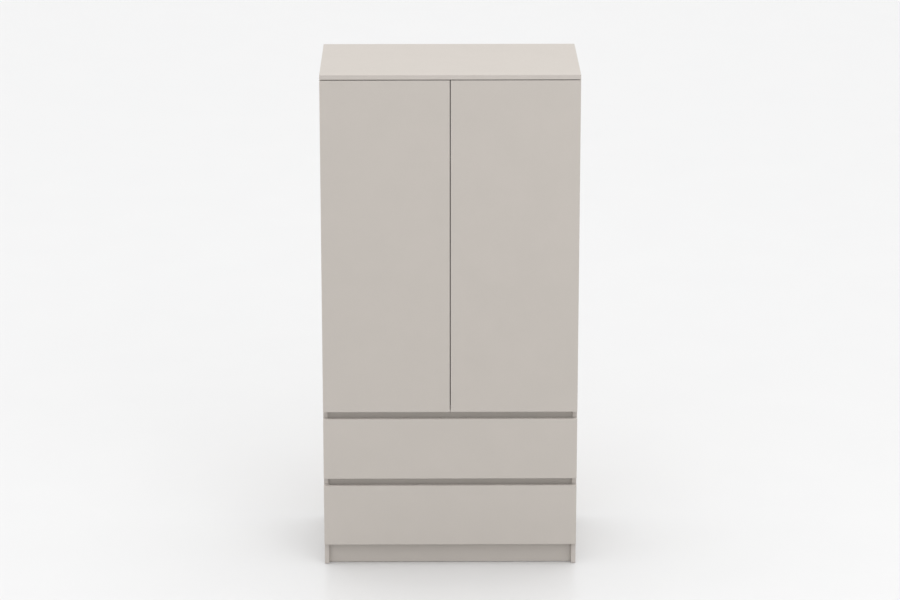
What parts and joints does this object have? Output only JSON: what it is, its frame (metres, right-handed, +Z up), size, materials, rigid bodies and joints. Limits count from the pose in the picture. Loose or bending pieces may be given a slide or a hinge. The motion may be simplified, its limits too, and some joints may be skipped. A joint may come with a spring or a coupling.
{
  "type": "wardrobe with doors",
  "caption": "Upright greige wardrobe with handleless doors over full-width drawers with recessed grip gaps, standing on a set-back plinth.",
  "frame": {"origin": "on the floor, below the middle of the wardrobe's bounding box", "axes": "+Z up, -Y towards the room (the doors face -Y), +X to the right of a person who faces the doors"},
  "size_m": [1, 0.587, 1.995],
  "materials": {
    "melamine_board": "matte greige melamine facing on chipboard, with matching edge band",
    "drawer_board": "pale foil facing on chipboard",
    "hardboard": "hardboard, raw brown behind and lacquered greige inside",
    "nickel_hinge": "nickel-plated pressed steel",
    "zinc_runner": "bright zinc-plated steel",
    "rail_steel": "satin steel",
    "plastic": "matte plastic"
  },
  "bodies": {
    "carcass": {"side_panel_left": "melamine_board", "side_panel_right": "melamine_board", "top_panel": "melamine_board", "middle_panel": "melamine_board", "bottom_panel": "melamine_board", "hat_shelf": "melamine_board", "plinth_front": "melamine_board", "plinth_rear": "melamine_board", "grip_rail_upper": "melamine_board", "grip_rail_lower": "melamine_board", "back_panel_upper": "hardboard", "back_panel_lower": "hardboard", "back_joint_strip": "plastic", "hanging_rail": "rail_steel", "rail_socket_left": "rail_steel", "tip_bracket_left": "zinc_runner", "glide_front_left": "plastic", "glide_rear_left": "plastic", "hinge_arm_left_lower": "nickel_hinge", "hinge_arm_left_middle": "nickel_hinge", "hinge_arm_left_upper": "nickel_hinge", "rail_socket_right": "rail_steel", "tip_bracket_right": "zinc_runner", "glide_front_right": "plastic", "glide_rear_right": "plastic", "hinge_arm_right_lower": "nickel_hinge", "hinge_arm_right_middle": "nickel_hinge", "hinge_arm_right_upper": "nickel_hinge", "upper_runner_cabinet_left": "zinc_runner", "upper_runner_cabinet_right": "zinc_runner", "lower_runner_cabinet_left": "zinc_runner", "lower_runner_cabinet_right": "zinc_runner"},
    "left_door": {"door_left": "melamine_board", "hinge_cup_left_lower": "nickel_hinge", "hinge_cup_left_middle": "nickel_hinge", "hinge_cup_left_upper": "nickel_hinge"},
    "right_door": {"door_right": "melamine_board", "hinge_cup_right_lower": "nickel_hinge", "hinge_cup_right_middle": "nickel_hinge", "hinge_cup_right_upper": "nickel_hinge"},
    "upper_drawer": {"upper_drawer_front": "melamine_board", "upper_drawer_side_left": "drawer_board", "upper_drawer_side_right": "drawer_board", "upper_drawer_back": "drawer_board", "upper_drawer_bottom": "hardboard", "upper_runner_drawer_left": "zinc_runner", "upper_runner_drawer_right": "zinc_runner"},
    "upper_runner_middles": {"upper_runner_middle_left": "zinc_runner", "upper_runner_middle_right": "zinc_runner"},
    "lower_drawer": {"lower_drawer_front": "melamine_board", "lower_drawer_side_left": "drawer_board", "lower_drawer_side_right": "drawer_board", "lower_drawer_back": "drawer_board", "lower_drawer_bottom": "hardboard", "lower_runner_drawer_left": "zinc_runner", "lower_runner_drawer_right": "zinc_runner"},
    "lower_runner_middles": {"lower_runner_middle_left": "zinc_runner", "lower_runner_middle_right": "zinc_runner"}
  },
  "joints": [
    {"name": "left_door_hinge", "type": "hinge", "parent": "carcass", "child": "left_door", "pos_m": [-0.492, -0.2865, 1.30825], "axis": [0, 0, -1], "range_deg": [0, 95]},
    {"name": "right_door_hinge", "type": "hinge", "parent": "carcass", "child": "right_door", "pos_m": [0.492, -0.2865, 1.30825], "axis": [0, 0, 1], "range_deg": [0, 95]},
    {"name": "upper_drawer_slide", "type": "slide", "parent": "carcass", "child": "upper_drawer", "axis": [0, -1, 0], "range_m": [0, 0.45]},
    {"name": "upper_runner_slide", "type": "slide", "parent": "carcass", "child": "upper_runner_middles", "axis": [0, -1, 0], "range_m": [0, 0.225]},
    {"name": "lower_drawer_slide", "type": "slide", "parent": "carcass", "child": "lower_drawer", "axis": [0, -1, 0], "range_m": [0, 0.45]},
    {"name": "lower_runner_slide", "type": "slide", "parent": "carcass", "child": "lower_runner_middles", "axis": [0, -1, 0], "range_m": [0, 0.225]}
  ],
  "couplings": [
    {"joint": "upper_runner_slide", "follows": "upper_drawer_slide", "ratio": 0.5},
    {"joint": "lower_runner_slide", "follows": "lower_drawer_slide", "ratio": 0.5}
  ]
}
